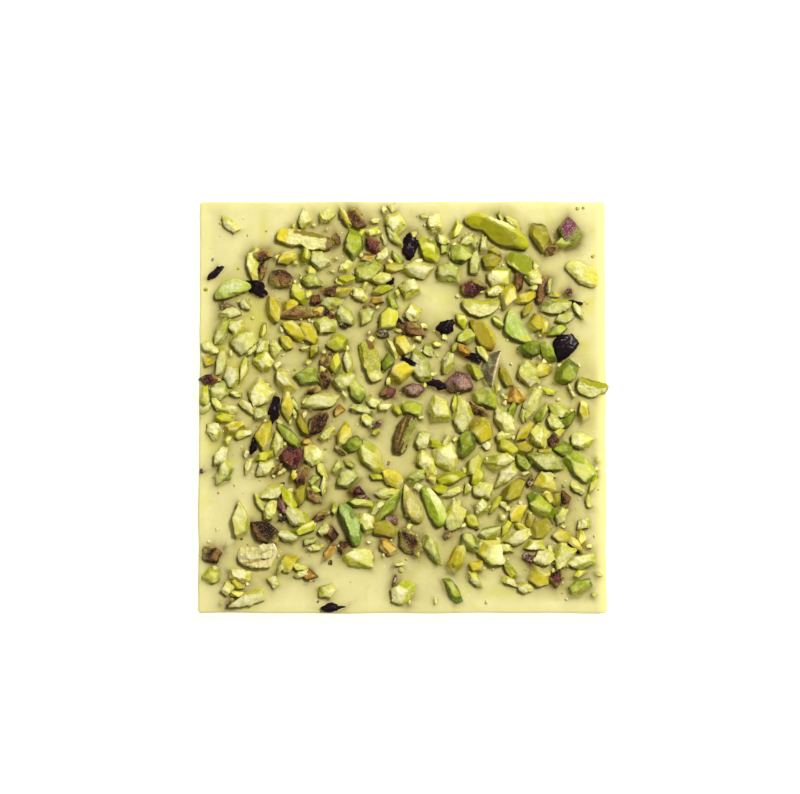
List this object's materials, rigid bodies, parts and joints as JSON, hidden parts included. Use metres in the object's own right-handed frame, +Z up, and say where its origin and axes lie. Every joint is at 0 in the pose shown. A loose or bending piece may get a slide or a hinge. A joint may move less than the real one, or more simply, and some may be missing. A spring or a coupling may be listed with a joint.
{
  "type": "white chocolate bar",
  "caption": "Square slab of white chocolate with chopped pistachio kernels, brown skins, a curled husk and dark dried petals in its poured face.",
  "frame": {"origin": "middle of the slab's flat moulded underside, where the bar rests", "axes": "+Z up out of the poured face with the topping, +X across the bar to the right, +Y away from the viewer"},
  "size_m": [0.101, 0.1018, 0.0105],
  "materials": {
    "white_chocolate": "satin pale cream chocolate, slightly waxy",
    "pistachio": "matt granular nut, pale cream to green",
    "pistachio_skin": "thin brown to purple skin over a pale nut",
    "husk": "thin grey translucent husk with a pale rim"
  },
  "bodies": {
    "root": {"white_chocolate": "white_chocolate", "long_sliver": "pistachio", "great_half": "pistachio", "lower_half": "pistachio", "leaf_kernel": "pistachio", "golden_slice": "pistachio", "cream_half": "pistachio", "coated_kernel": "pistachio", "edge_slice": "pistachio", "pale_chip": "pistachio", "wrinkled_kernel": "pistachio", "drop_kernel": "pistachio", "bright_kernel": "pistachio", "brown_slice": "pistachio_skin", "speckled_kernel": "pistachio", "dusty_kernel": "pistachio", "husk_curl": "husk"}
  },
  "joints": []
}
